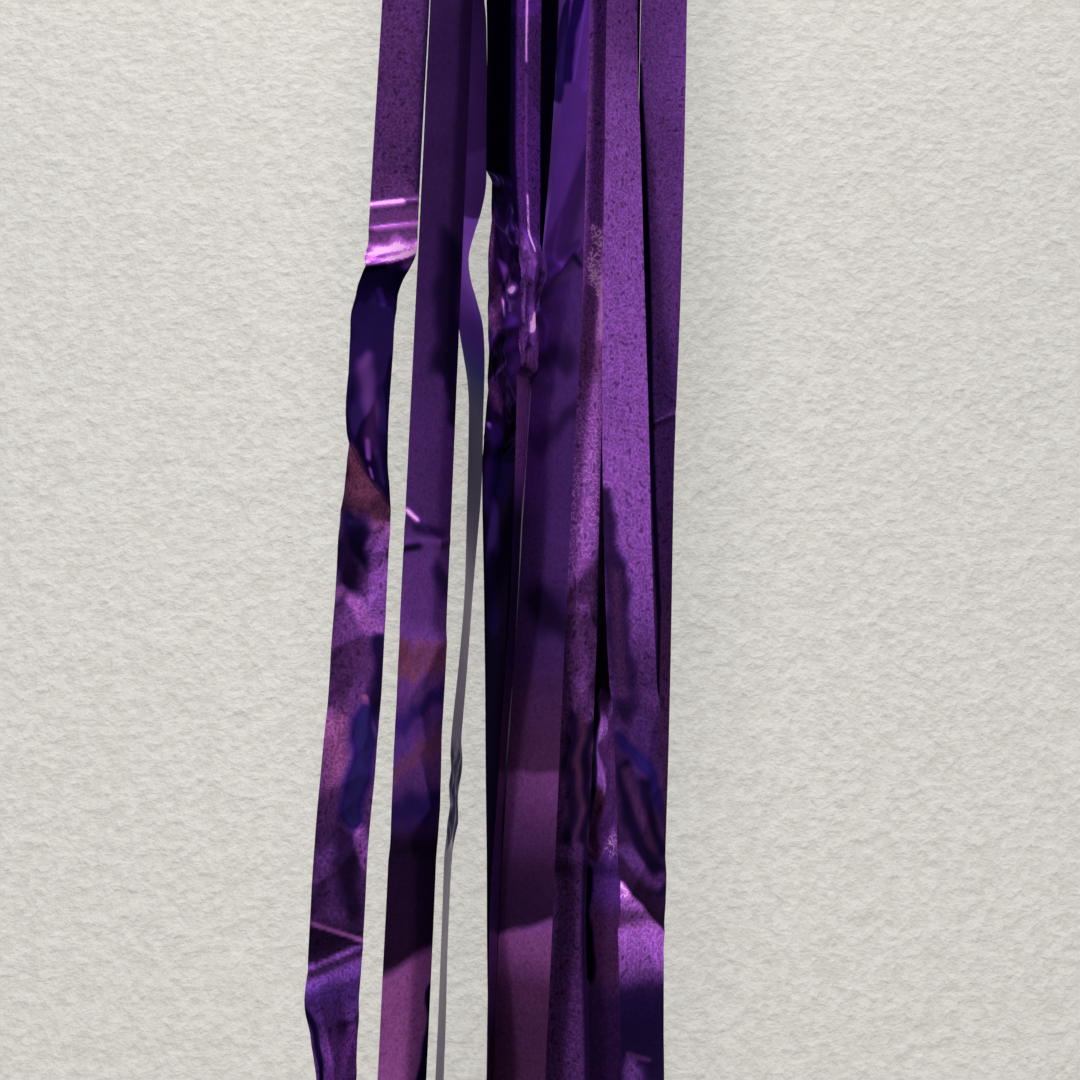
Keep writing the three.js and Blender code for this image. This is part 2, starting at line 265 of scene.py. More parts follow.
def tape_material():
    """Pale binding tape with a fine cross weave."""
    material, sh = new_material("header_tape")
    place = sh.millimetres()
    x, _, z = sh.add("SeparateXYZ", {0: place}).outputs
    threads = sh.times(sh.math("SINE", sh.times(x, 9.0)), sh.math("SINE", sh.times(z, 9.0)))
    fluff = sh.noise(place, 1.5, 4.0)
    sh.surface({
        "Base Color": sh.mix(fluff, (0.50, 0.48, 0.53, 1), (0.70, 0.68, 0.72, 1)),
        "Roughness": sh.plus(0.6, sh.times(fluff, 0.2)),
        "Normal": sh.bump(threads, 0.00004),
    })
    return material


def steel_material():
    """Bright plated steel with turning marks and a little grime."""
    material, sh = new_material("screw_steel")
    grime = sh.between(sh.noise(sh.millimetres(), 0.9, 4.0, 0.65), 0.5, 0.75)
    marks = sh.noise(sh.millimetres((1, 12, 1)), 5.0, 2.0)
    sh.surface({
        "Base Color": sh.mix(grime, (0.72, 0.72, 0.74, 1), (0.34, 0.32, 0.31, 1)),
        "Metallic": 1.0,
        "Roughness": sh.plus(0.2, sh.times(grime, 0.25)),
        "Normal": sh.bump(marks, 0.00001),
    })
    return material


# ---------------------------------------------------------------- the streamers' shapes
def smooth_through(x, xs, ys):
    """A smooth curve through the points (xs, ys), read at x."""
    slopes = np.gradient(ys, xs)
    i = np.clip(np.searchsorted(xs, x) - 1, 0, len(xs) - 2)
    width = xs[i + 1] - xs[i]
    t = np.clip((x - xs[i]) / width, 0, 1)
    ease = t * t * (3 - 2 * t)
    bend = t * (1 - t) * width * ((1 - t) * slopes[i] - t * slopes[i + 1])
    return ys[i] + ease * (ys[i + 1] - ys[i]) + bend


def cad_course(node):
    """Distance down, centre x, centre y and heading of a CAD streamer's cross-sections, and its top."""
    vertices = np.array([vertex.co for vertex in frame["nodes"][node].data.vertices]) / MM
    points = np.unique(np.round(vertices, 3), axis=0)
    levels = np.unique(np.round(points[:, 2], 2))[::-1]
    course, heading = [], 0.0
    for level in levels:
        ring = points[np.abs(points[:, 2] - level) < 0.02][:, :2]
        centre = ring.mean(0)
        _, _, axes = np.linalg.svd(ring - centre)
        turned = math.atan2(axes[0][1], axes[0][0])
        turned -= math.pi * round((turned - heading) / math.pi)
        heading = turned
        course.append((levels[0] - level, *centre, heading))
    return np.array(course).T, levels[0]


def window(v, start, end, soft=6.0):
    """1 between two distances down, fading to 0 outside them."""
    rise = np.clip((v - start) / soft + 0.5, 0, 1)
    fall = np.clip((end - v) / soft + 0.5, 0, 1)
    return (rise * rise * (3 - 2 * rise)) * (fall * fall * (3 - 2 * fall))


def waves(seed, s, v, height, lengths=(22, 75)):
    """Long soft undulations."""
    rng = np.random.default_rng(seed)
    total = np.zeros_like(s)
    for _ in range(7):
        length = rng.uniform(*lengths)
        lean = rng.normal(0, 0.35)
        total += np.sin(2 * math.pi * ((v + lean * s * 3) / length + rng.random()))
    return height * total / 7


def crumple(seed, s, v, start, end, height, size):
    """Pinched points with facets between them, in a stretch of the film."""
    rng = np.random.default_rng(seed)
    bent_s = s + 0.6 * np.sin(v / 5.1 + rng.uniform(0, 6))
    bent_s = bent_s + 0.35 * np.sin(v / 2.3 - s / 2 + rng.uniform(0, 6))
    bent_v = v + 1.1 * np.sin(s / 2.7 + v / 8 + rng.uniform(0, 6))
    total = np.zeros_like(s)
    for spacing, share in ((size, 1.0), (size * 0.45, 0.4)):
        points = int(FILM_WIDTH * 1.6 * (end - start + 2 * spacing) / spacing ** 2)
        point_s = rng.uniform(-0.8, 0.8, points) * FILM_WIDTH
        point_v = rng.uniform(start - spacing, end + spacing, points)
        nearest = np.full_like(s, 1e9)
        for a, b in zip(point_s, point_v):
            nearest = np.minimum(nearest, np.hypot(bent_s - a, (bent_v - b) * 0.6))
        total += share * nearest
    return height * total * window(v, start, end)


def crease(s, v, from_s, from_v, to_s, to_v, height, width):
    """A straight sharp ridge between two points of the film."""
    away = distance_to(s, v, (from_s, from_v), (to_s, to_v))
    return height * np.clip(1 - away / width, 0, 1) ** 1.6


def distance_to(s, v, first, last):
    """Distance from each point of the film to a straight line on it."""
    run = np.subtract(last, first)
    share = np.clip(((s - first[0]) * run[0] + (v - first[1]) * run[1]) / (run @ run + 1e-9), 0, 1)
    return np.hypot(s - first[0] - share * run[0], v - first[1] - share * run[1])


def banded(stops, s, v):
    """Values set at distances down. A stop is (down, value), or (down at left, down at right, value)."""
    left = np.array([stop[0] for stop in stops])
    right = np.array([stop[-2] for stop in stops])
    values = [stop[-1] for stop in stops]
    columns = []
    for column in range(s.shape[1]):
        share = s[0, column] / FILM_WIDTH + 0.5
        uneven = 0.25 * np.sin(v[:, column] / 2.9 + s[0, column] / 1.3)
        columns.append(np.interp(v[:, column] + uneven, left + share * (right - left), values))
    return np.stack(columns, axis=1)


def painted(look, s, v):
    """The film's shade, tint and grain: bands down its length, with soft-edged strokes over them.

    Short wide strokes have uneven rims."""
    layers = {name: banded(look[name], s, v) for name in LAYERS}
    rng = np.random.default_rng(look["seed"] + 7)
    a, b, c, d = rng.uniform(0, 6, 4)
    bent_s = s + 0.6 * np.sin(v / 3.4 + a) + 0.3 * np.sin(v / 1.5 + s / 2 + b)
    bent_v = v + 1.3 * np.sin(s / 2.2 + v / 7 + c) + 0.6 * np.sin(s / 0.9 - v / 3 + d)
    for first, last, radius, soft, *values in look.get("strokes", ()):
        is_blotch = radius > 0.4 and math.dist(first, last) < 45
        away = distance_to(bent_s, bent_v, first, last) if is_blotch else distance_to(s, v, first, last)
        share = np.clip(1 - (away - 0.6 * radius) / (soft * (2.2 if is_blotch else 1.2)), 0, 1)
        share = share * share * (3 - 2 * share)
        for name, value in zip(LAYERS, values):
            layers[name] += (value - layers[name]) * share
    return layers


def make_film(node, look):
    """The streamer's fine surface: the CAD's course, bent across, creased and crumpled, with painted
    light and shade in its vertex values.
    """
    (down, xs, ys, headings), top = cad_course(node)
    v_line = np.linspace(0, down[-1], FILM_ROWS)
    s_line = np.linspace(-FILM_WIDTH / 2, FILM_WIDTH / 2, FILM_COLUMNS)
    v, s = np.meshgrid(v_line, s_line, indexing="ij")
    x, y, heading = (smooth_through(v_line, down, line)[:, None] for line in (xs, ys, headings))
    freed = np.clip(v_line[:, None] / FREE_BELOW, 0, 1)
    x = x + look.get("shift", 0) * freed
    heading = heading + math.radians(look.get("turn", 0)) * freed
    curl = np.interp(v_line, *zip(*look.get("curl", [(0, 0)])))[:, None]
    across = heading + np.radians(curl) * s / (FILM_WIDTH / 2)
    relief = waves(look["seed"], s, v, look.get("waves", 0.35))
    for number, (start, end, height, size) in enumerate(look.get("crumples", ())):
        relief = relief + crumple(look["seed"] + 100 * number, s, v, start, end, height, size)
    for one in look.get("creases", ()):
        relief = relief + crease(s, v, *one)
    relief = relief * np.clip(v / 14, 0, 1)
    step = s_line[1] - s_line[0]
    px = x + summed_from_middle(np.cos(across), step) + relief * np.sin(across)
    py = y + summed_from_middle(np.sin(across), step) - relief * np.cos(across)
    mesh = grid_mesh(node.replace("streamer", "film"), px, py, top - v)
    layers = painted(look, s, v)
    # Painted light and shade on the relief: facets that slope one way are painted brighter, the others
    # darker.
    down_slope, side_slope = np.gradient(relief, v_line, s_line)
    layers["shade"] = layers["shade"] * np.clip(1 + 2.2 * down_slope + 1.6 * side_slope, 0.2, 2.5)
    for name, values in layers.items():
        set_attribute(mesh, name, values)
    return mesh


def summed_from_middle(rate, step):
    """Adds up a rate across each row, starting from the row's middle."""
    middle = rate.shape[1] // 2
    total = np.concatenate([0 * rate[:, :1], np.cumsum((rate[:, 1:] + rate[:, :-1]) / 2, axis=1)], axis=1)
    return (total - total[:, middle:middle + 1]) * step


def grid_mesh(name, px, py, pz):
    """An open sheet through rows and columns of points in mm."""
    i = np.arange(px.size).reshape(px.shape)
    return smooth_mesh(name, px, py, pz, [i[:-1, :-1], i[1:, :-1], i[1:, 1:], i[:-1, 1:]])


def smooth_mesh(name, px, py, pz, corners):
    """A smooth-shaded mesh of points in mm and of four-sided faces, given as four arrays of corners."""
    vertices = np.stack([px, py, pz], axis=-1).reshape(-1, 3) * MM
    faces = np.stack(corners, axis=-1).reshape(-1, 4)
    mesh = bpy.data.meshes.new(name)
    mesh.from_pydata(vertices.tolist(), [], faces.tolist())
    mesh.polygons.foreach_set("use_smooth", [True] * len(mesh.polygons))
    mesh.update()
    return mesh


def set_attribute(mesh, name, values):
    """Gives the mesh a value at each of its vertices, for its material to read."""
    attribute = mesh.attributes.new(name, "FLOAT", "POINT")
    attribute.data.foreach_set("value", np.asarray(values, np.float32).ravel())


# ---------------------------------------------------------------- the streamers' looks
# Distances are down the streamer from its top and across it from its middle, in mm. shade is painted
# light
# and shade: how bright the room, the lamps and the neighbouring strips look mirrored in the film there,
# painted into its colour, and at its highest a painted pale pink highlight. tint is the film's violet
# 0.5, shifted by painted reflections of coloured surroundings to pale grey 0 where it mirrors the pale
# wall, blue 0.25, mauve 0.75 and red-brown 1. grain is how strongly the film is pebbled. A stroke runs
# from one (across, down) point to another, with its radius and soft rim, and then its shade, tint and
# grain; the strokes paint reflections, shadows and highlights.
LOOKS = {
    "front_streamer_1": {
        "seed": 11, "waves": 0.15, "curl": [(0, 0), (135, 6), (150, -12), (200, -8), (230, 4), (385, -6)],
        "shade": [
            (0, 0.21), (60, 0.22), (112, 0.23), (119, 0.32), (141, 135, 0.6), (142.5, 136.5, 0.10),
            (160, 150, 0.13), (178, 0.20), (187, 200, 0.14), (189, 203, 0.26), (212, 205, 0.2),
            (235, 0.3), (262, 0.28), (280, 0.22), (302, 0.18), (304, 307, 0.03), (312, 307.5, 0.03),
            (314, 309, 0.8), (317, 314, 0.7), (319, 316, 0.22), (326, 0.24), (331, 0.5), (385, 0.5)],
        "tint": [
            (0, 0.53), (112, 0.56), (119, 0.6), (141, 135, 0.66), (142.5, 136.5, 0.30), (187, 200, 0.32),
            (189, 203, 0.9), (209, 205, 0.8), (215, 0.55), (262, 0.6), (264, 0.68), (285, 0.52),
            (313, 308, 0.5), (320, 0.38), (328, 0.5), (385, 0.5)],
        "grain": [
            (0, 1), (118, 1), (122, 0.5), (141, 135, 0.6), (142.5, 136.5, 0.05), (187, 200, 0.1),
            (189, 203, 0.8), (385, 0.9)],
        "strokes": [
            ((6.3, 0), (6.3, 118), 0.2, 1.6, 0.10, 0.4),
            ((-6.4, 123.3), (2, 121.8), 0.35, 0.9, 2.7, 0.68, 0.1),
            ((-4.5, 129.6), (6.4, 127.8), 0.2, 0.9, 1.6, 0.7, 0.1),
            ((-6.4, 138), (6.4, 133.8), 0.5, 1.6, 2.6, 0.68, 0.3),
            ((-1, 165), (1.5, 186), 0.5, 1.6, 0.5, 0.5, 0),
            ((0.4, 186), (0.8, 190), 0.4, 0.8, 2.2, 0.62, 0),
            ((1.2, 193), (1.6, 195), 0.2, 0.5, 1.8, 0.6, 0),
            ((0.5, 146), (2.5, 149), 0.3, 1.2, 0.4, 0.3, 0),
            ((-4, 193), (-1, 206), 1.6, 2, 0.34, 0.92, 0.8),
            ((-3, 206), (1, 216), 2.6, 1.5, 0.05, 0.3, 0.3),
            ((-5.5, 212), (-3, 226), 1.8, 1.2, 0.05, 0.4, 0.3),
            ((4, 214), (3.5, 232), 2.4, 1.2, 0.52, 0.55, 1),
            ((-6.4, 224), (6, 233.5), 0.9, 0.9, 0.66, 0.66, 0.8),
            ((5.5, 236), (5, 256), 1.4, 1.2, 0.1, 0.35, 0.4),
            ((2.5, 250), (5.5, 259), 0.4, 0.7, 0.5, 1.0, 0.4),
            ((-4, 256), (-1, 270), 2.5, 2.2, 0.48, 0.8, 1),
            ((3, 256), (2, 277), 2.4, 1.6, 0.2, 0.22, 0.2),
            ((0, 283), (3.5, 300), 1.6, 1.6, 0.07, 0.45, 0.4),
            ((3.6, 281), (5.6, 290), 0.9, 0.7, 0.6, 0.6, 1),
            ((-6, 303), (6.2, 307), 0.25, 0.5, 0.55, 0.8, 0.2),
            ((-6.4, 322), (-4, 339), 0.8, 0.3, 0.05, 0.3, 0)],
        "crumples": [(148, 203, 0.09, 15), (207, 302, 0.2, 12), (318, 385, 0.15, 12)],
        "creases": [
            (-6.4, 123.3, 6.4, 121.3, 0.3, 1.6), (-6.4, 130, 6.4, 127.6, 0.25, 1.5),
            (-6.4, 138, 6.4, 133.6, 0.35, 2.2), (-6.4, 141.5, 6.4, 135.6, 0.6, 2.0),
            (-6.4, 188, 6.4, 203.5, 0.8, 3.0), (-6.4, 313.5, 6.4, 308.5, 0.9, 3.0)],
    },
    "front_streamer_2": {
        "seed": 12, "waves": 0.12, "curl": [(0, 0), (60, 3), (385, 4)],
        "shade": [
            (0, 0.16), (130, 0.17), (150, 0.2), (165, 0.27), (185, 0.3), (203, 0.29), (206, 209, 0.28),
            (210, 212, 0.45), (236, 0.5), (240, 0.42), (246, 0.45), (251, 0.38), (262, 0.41), (270, 0.3),
            (276, 0.2), (283, 286, 0.05), (313, 307, 0.045), (315.5, 309.5, 0.66), (325, 0.64),
            (345, 0.6), (385, 0.5)],
        "tint": [
            (0, 0.43), (150, 0.45), (235, 0.5), (237, 236, 0.72), (244, 241, 0.86), (246, 245, 0.52),
            (262, 0.45), (268, 263, 0.55), (275, 0.42), (290, 0.5), (312, 306, 0.6), (315, 309, 0.78),
            (385, 0.76)],
        "grain": [(0, 0.25), (180, 0.35), (385, 0.4)],
        "strokes": [
            ((2.6, 133), (2.8, 166), 2.6, 1.8, 0.06, 0.36, 0.2),
            ((5.4, 160), (5.6, 178), 0.8, 1.2, 0.07, 0.36, 0.2),
            ((-5.8, 204), (-3.2, 206), 0.35, 0.7, 2.6, 0.68, 0),
            ((-3, 208), (4, 209), 0.4, 1.6, 0.16, 0.4, 0.2),
            ((0, 212), (6, 210.5), 0.2, 0.6, 0.7, 0.5, 0),
            ((-6, 213.5), (-2.5, 212.5), 0.4, 1.2, 0.08, 0.4, 0.2),
            ((3.2, 219), (5.8, 222), 0.7, 1.4, 0.2, 0.4, 0.3),
            ((-6.4, 238), (-3.5, 243), 1.2, 1.2, 0.42, 0.9, 0.4),
            ((0, 237.5), (6.4, 238.5), 1.8, 1, 0.44, 0.84, 0.4),
            ((-6.4, 256), (6.4, 249), 0.6, 1.6, 0.28, 0.3, 0.3),
            ((-6.4, 262), (6.4, 254), 0.8, 1.4, 0.42, 0.42, 0.3),
            ((-6.4, 268), (6.4, 259), 0.7, 1.4, 0.34, 0.8, 0.3),
            ((-6.4, 279), (6.4, 273), 0.8, 2, 0.14, 0.3, 0.2),
            ((7.5, 318), (5.5, 345), 2.2, 0.5, 0.05, 0.3, 0)],
        "crumples": [(234, 286, 0.06, 14)],
        "creases": [(-6.4, 205, 4, 211, 0.4, 3.0), (-6.4, 213, 6.4, 210, 0.2, 2.0)],
    },
    "front_streamer_3": {
        "seed": 13, "waves": 0.15, "shift": 0.3,
        "shade": [
            (0, 0.39), (120, 0.45), (135, 0.48), (150, 0.6), (165, 0.4), (180, 0.55), (195, 0.5),
            (205, 0.05), (280, 0.04), (287, 0.17), (320, 0.17), (326, 0.05), (385, 0.05)],
        "tint": [(0, 0.6), (150, 0.5), (170, 0.62), (190, 0.64), (205, 0.4), (385, 0.47)],
        "grain": [(0, 1), (195, 1), (205, 0.3), (385, 0.3)],
        "strokes": [
            ((-5.8, 0), (-5.4, 130), 1.4, 1.2, 0.06, 0.35, 0.2),
            ((0.3, 50), (0.2, 82), 0.35, 0.5, 3.0, 0.66, 0),
            ((0.2, 86), (0.4, 120), 0.15, 0.6, 1.0, 0.66, 0.3),
            ((0.6, 120), (0.9, 135), 0.25, 0.6, 2.6, 0.66, 0.4),
            ((0, 142), (3, 150), 1, 1.2, 0.9, 0.52, 0.2), ((2.5, 150), (1.5, 158), 0.5, 0.8, 2.4, 0.5, 0),
            ((-6, 322), (-5.8, 336), 0.6, 0.6, 0.5, 0.72, 0.3)],
        "crumples": [(132, 168, 0.3, 7)],
    },
    "front_streamer_4": {
        "seed": 14, "waves": 0.12, "shift": -0.5, "curl": [(0, 0), (60, -4), (150, -2), (385, 3)],
        "shade": [
            (0, 0.85), (131, 104, 0.74), (134, 107, 0.36), (155, 0.28), (173, 0.3), (190, 0.25),
            (205, 0.26), (220, 0.25), (235, 0.22), (246, 0.17), (266, 0.19), (267.5, 0.46), (272, 0.42),
            (280, 0.25), (290, 0.09), (299, 0.07), (304, 300, 0.07), (305.5, 301.5, 0.62), (309, 0.48),
            (316, 0.2), (325, 0.15), (385, 0.14)],
        "tint": [
            (0, 0.43), (150, 0.43), (240, 0.45), (250, 0.66), (262, 0.72), (267, 0.72), (285, 0.66),
            (299, 0.55), (305, 0.76), (385, 0.76)],
        "grain": [(0, 0.05), (130, 0.1), (150, 0.3), (385, 0.4)],
        "strokes": [
            ((-4, 62), (-5.5, 90), 2.0, 0.5, 0.2, 0.28, 0), ((2, 60), (-3, 84), 3, 0.6, 0.24, 0.28, 0),
            ((-3, 57.5), (4, 58.5), 0.6, 1.0, 2.0, 0.45, 0),
            ((5.2, 62), (0.6, 87), 0.15, 0.6, 1.3, 0.4, 0),
            ((0.6, 87), (-4.2, 104), 0.15, 0.7, 0.8, 0.4, 0),
            ((-5.5, 143), (3.5, 136), 0.3, 1.0, 0.1, 0.4, 0),
            ((-4, 139.5), (3, 133.5), 0.5, 1.2, 0.3, 0.42, 0),
            ((3.5, 136), (5.5, 139), 0.3, 0.8, 0.08, 0.4, 0),
            ((-4, 163.5), (3, 162.5), 1.6, 2.2, 0.11, 0.4, 0.2),
            ((-3.4, 184.5), (5.5, 177.5), 0.9, 2.0, 0.13, 0.4, 0.2),
            ((0, 224), (3.5, 231), 2.2, 2.5, 0.06, 0.38, 0.2)],
        "creases": [(-6, 145, 6, 134, 0.35, 3.0)],
    },
    "front_streamer_5": {
        "seed": 15, "waves": 0.15, "shift": -0.5, "turn": -3,
        "curl": [(0, 0), (60, 2), (200, 3), (385, 3)],
        "shade": [
            (0, 0.32), (72, 0.36), (92, 0.6), (118, 0.75), (165, 0.82), (205, 0.8), (226, 0.65),
            (238, 0.3), (248, 0.16), (256, 0.24), (262, 0.2), (291, 303, 0.06), (292, 304.5, 1.45),
            (305, 310, 1.1), (312, 0.5), (316, 0.1), (325, 0.06), (385, 0.09)],
        "tint": [
            (0, 0.55), (200, 0.55), (250, 0.5), (256, 0.45), (300, 0.6), (312, 0.54), (318, 0.33),
            (385, 0.38)],
        "grain": [
            (0, 1), (250, 1), (256, 0.6), (291, 303, 0.4), (292, 304.5, 1), (312, 1), (318, 0.4),
            (385, 0.4)],
        "strokes": [
            ((-7.5, 200), (-3, 216), 2.2, 1.2, 0.12, 0.42, 0.5),
            ((-4, 216), (-2.5, 250), 3, 1.4, 0.1, 0.42, 0.5),
            ((-3.4, 218), (-3.2, 247), 0.1, 2.0, 0.15, 0.64, 0.7),
            ((-3.8, 258), (6.2, 273), 0.8, 1.0, 0.25, 0.24, 0),
            ((-4.5, 264), (-1, 284), 1.6, 1, 0.05, 0.35, 0),
            ((1, 270), (4.5, 284), 1.4, 1, 0.05, 0.35, 0),
            ((-3.5, 266), (3.2, 286), 0.1, 1.9, 0.14, 0.66, 0.5),
            ((0, 284), (6, 294), 1.5, 1.2, 0.05, 0.35, 0), ((-5.5, 285), (5, 292), 0.7, 1, 0.3, 0.5, 0.6),
            ((-6, 292), (-4, 295), 0.3, 0.8, 2.2, 0.66, 0.5),
            ((-3, 334), (1, 342), 2, 1.4, 0.32, 0.5, 0.9),
            ((-4.5, 330), (2, 332), 0.2, 0.6, 0.2, 0.6, 0.3)],
        "crumples": [(248, 300, 0.14, 13)],
        "creases": [(-6.4, 291, 6.4, 303.5, 0.5, 4.0)],
    },
    "rear_streamer_1": {
        "seed": 21, "waves": 0.15, "shift": 0.3,
        "shade": [
            (0, 1.0), (104, 96, 1.0), (106, 98, 1.5), (128, 1.2), (150, 0.4), (170, 0.18), (200, 0.14),
            (270, 0.14), (285, 0.1), (385, 0.06)],
        "tint": [(0, 0.42), (135, 0.42), (160, 0.3), (178, 0.05), (275, 0.08), (290, 0.25), (385, 0.28)],
        "grain": [(0, 0.1)],
        "crumples": [(262, 285, 0.2, 6)],
    },
    "rear_streamer_2": {
        "seed": 22, "waves": 0.15,
        "shade": [
            (0, 0.02), (110, 0.02), (116, 0.2), (140, 0.25), (170, 0.16), (185, 0.05), (300, 0.03),
            (385, 0.02)],
        "tint": [(0, 0.25), (110, 0.35), (150, 0.42), (385, 0.3)],
        "grain": [(0, 0.1)],
        "strokes": [
            ((-5, 118), (-3.5, 130), 0.7, 1.2, 0.35, 0.38, 0),
            ((-6, 123), (-5.2, 142), 0.3, 0.8, 0.6, 0.7, 0.8),
            ((-4.5, 142), (-4, 152), 1.2, 1, 0.3, 0.7, 0.9),
            ((-1.5, 136.5), (0.5, 140), 0.5, 0.8, 2.2, 0.55, 0),
            ((-2, 145), (-1.8, 150), 0.15, 0.4, 2.6, 0.5, 0), ((0, 150), (0.5, 163), 1.5, 1, 0.4, 0.4, 0),
            ((-0.4, 162), (-5.2, 168), 0.12, 0.4, 0.9, 0.5, 0),
            ((-5.2, 169), (-2.5, 176), 1.1, 0.8, 0.4, 0.66, 0.9),
            ((-5.3, 179.5), (-4.2, 180.5), 0.4, 0.5, 2.4, 0.5, 0),
            ((-3.5, 182), (-3.8, 214), 1.2, 0.9, 0.3, 0.32, 0),
            ((-4, 214), (-4.2, 232), 0.8, 1.2, 0.12, 0.3, 0),
            ((-0.5, 184), (-0.5, 196), 0.6, 1.8, 0.1, 0.24, 0)],
        "crumples": [(112, 186, 0.3, 13)],
    },
    "rear_streamer_3": {
        "seed": 23, "waves": 0.15, "shade": [(0, 0.03)], "tint": [(0, 0.28)], "grain": [(0, 0.1)],
    },
    "rear_streamer_4": {
        "seed": 24, "waves": 0.15, "shift": 0.3,
        "curl": [(0, 0), (60, 22), (150, 22), (190, 14), (260, 10), (300, 16), (385, 10)],
        "shade": [
            (0, 0.8), (105, 0.95), (118, 1.0), (150, 0.9), (162, 0.6), (167, 1.1), (175, 1.4), (190, 1.5),
            (205, 1.5), (225, 209, 1.3), (229, 214, 0.25), (285, 0.22), (385, 0.25)],
        "tint": [
            (0, 0.52), (120, 0.62), (152, 0.66), (160, 0.75), (168, 0.62), (205, 0.58), (225, 0.6),
            (300, 0.55), (385, 0.5)],
        "grain": [(0, 1)],
        "strokes": [
            ((0.8, 229), (4.8, 251), 0.5, 1.0, 0.42, 0.6, 1),
            ((3.2, 254), (4, 282), 0.5, 1.2, 0.22, 0.9, 0.4),
            ((5.2, 254), (5.5, 284), 0.5, 0.8, 0.05, 0.4, 0.2),
            ((1, 254), (1.6, 284), 0.6, 1, 0.06, 0.4, 0.3),
            ((5.9, 285), (5.9, 345), 0.3, 0.9, 0.06, 0.4, 0.3),
            ((2.6, 124), (3.2, 138), 1.0, 1.0, 2.4, 0.7, 0.8),
            ((4.6, 139), (5.4, 154), 0.6, 0.9, 2.4, 0.7, 0.8)],
        "crumples": [(225, 290, 0.12, 12)],
    },
    "rear_streamer_5": {
        "seed": 25, "waves": 0.15, "turn": 6,
        "shade": [
            (0, 0.03), (246, 0.03), (256, 1.35), (286, 1.45), (297, 1.3), (301, 0.6), (316, 0.5),
            (322, 0.3), (385, 0.3)],
        "tint": [
            (0, 0.4), (250, 0.55), (285, 0.5), (290, 0.42), (298, 0.44), (303, 0.7), (316, 0.68),
            (322, 0.45), (385, 0.45)],
        "grain": [(0, 0.6)],
        "strokes": [
            ((-5.5, 220), (-4.5, 282), 2.4, 1.0, 0.02, 0.3, 0),
            ((-5.2, 287), (-1.8, 286), 0.7, 0.7, 0.35, 0.8, 0.6),
            ((-1, 272), (-2.5, 284), 0.9, 1, 0.3, 0.8, 0.7),
            ((-5, 291), (-4.5, 318), 1.2, 0.7, 0.03, 0.3, 0)],
        "crumples": [(246, 290, 0.15, 9)],
    },
    "rear_streamer_6": {
        "seed": 26, "waves": 0.15, "shift": -0.3, "curl": [(0, 0), (60, -3), (385, -5)],
        "shade": [
            (0, 0.3), (75, 0.32), (118, 0.34), (150, 0.3), (162, 0.26), (189, 0.24), (215, 0.2),
            (235, 0.18), (300, 0.2), (385, 0.15)],
        "tint": [(0, 0.5), (140, 0.52), (165, 0.45), (215, 0.5), (230, 0.66), (385, 0.6)],
        "grain": [(0, 0.9), (385, 0.7)],
        "strokes": [
            ((-6.6, 75), (-1.6, 162), 1.0, 0.5, 0.02, 0.3, 0),
            ((-1.6, 162), (2.8, 227), 0.8, 0.4, 0.02, 0.3, 0),
            ((2.8, 227), (3.4, 300), 0.5, 0.4, 0.02, 0.3, 0),
            ((1, 176), (6.4, 174.6), 0.15, 0.5, 0.5, 0.5, 0.2)],
        "creases": [(-2, 177, 6.4, 174.6, 0.3, 2.0)],
    },
}


# ---------------------------------------------------------------- the streamers' pieces
def add_piece(name, mesh, material, body):
    """Puts a visual piece in the scene, to move with a body."""
    piece = bpy.data.objects.new(name, mesh)
    mesh.materials.append(material)
    bpy.context.scene.collection.objects.link(piece)
    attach(piece, body)
    return piece


def add_streamers():
    material = film_material()
    for node in STREAMERS:
        mesh = make_film(node, LOOKS[node])
        film = add_piece(node.replace("streamer", "film"), mesh, material, node)
        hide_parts(node)


add_streamers()


# ---------------------------------------------------------------- the handle
def use_material(node, material):
    """Gives a CAD node its material and smooth shading across shallow edges."""
    mesh = frame["nodes"][node].data
    mesh.materials.clear()
    mesh.materials.append(material)
    mesh.polygons.foreach_set("use_smooth", [True] * len(mesh.polygons))
    mesh.set_sharp_from_angle(angle=math.radians(32))


def make_grip():
    """A ribbed foam sleeve with rolled ends and a slit along its rear underside."""
    low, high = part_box("grip_sleeve")
    centre, half = (low + high) / 2 / MM, (high - low) / 2 / MM
    ribs, rib_depth, slit_at = 5, 0.7, -math.pi / 2 + 0.7
    end_round, slit_depth, slit_width, bore = 1.9, 2.2, 0.75, 0.74
    lip_depth, lip_width = 0.35, 1.6
    t = np.linspace(0, 1, 221)
    a = np.linspace(0, 2 * math.pi, 161)[:-1]
    t_grid, a_grid = np.meshgrid(t, a, indexing="ij")
    wave = rib_depth * (0.5 - 0.5 * np.cos(2 * math.pi * ribs * t_grid))
    end = np.minimum(t_grid, 1 - t_grid) * 2 * half.x
    roll = end_round * (1 - np.sqrt(np.clip(1 - (1 - np.clip(end / end_round, 0, 1)) ** 2, 0, 1)))
    gap = np.abs((a_grid - slit_at + math.pi) % (2 * math.pi) - math.pi) * half.z
    slit = slit_depth * np.clip(1 - gap / slit_width, 0, 1) ** 0.5
    slit = slit + lip_depth * np.exp(-(gap / lip_width) ** 2)
    lumps = 0.07 * np.sin(7 * a_grid + 9 * t_grid) * np.sin(23 * t_grid + 2 * a_grid)
    radius = half.z - rib_depth + wave - roll - slit + lumps
    px = centre.x + (t_grid - 0.5) * 2 * half.x
    py = centre.y + radius * np.cos(a_grid) * half.y / half.z
    pz = centre.z + radius * np.sin(a_grid)
    return tube_mesh("grip_foam", px, py, pz, centre, bore)


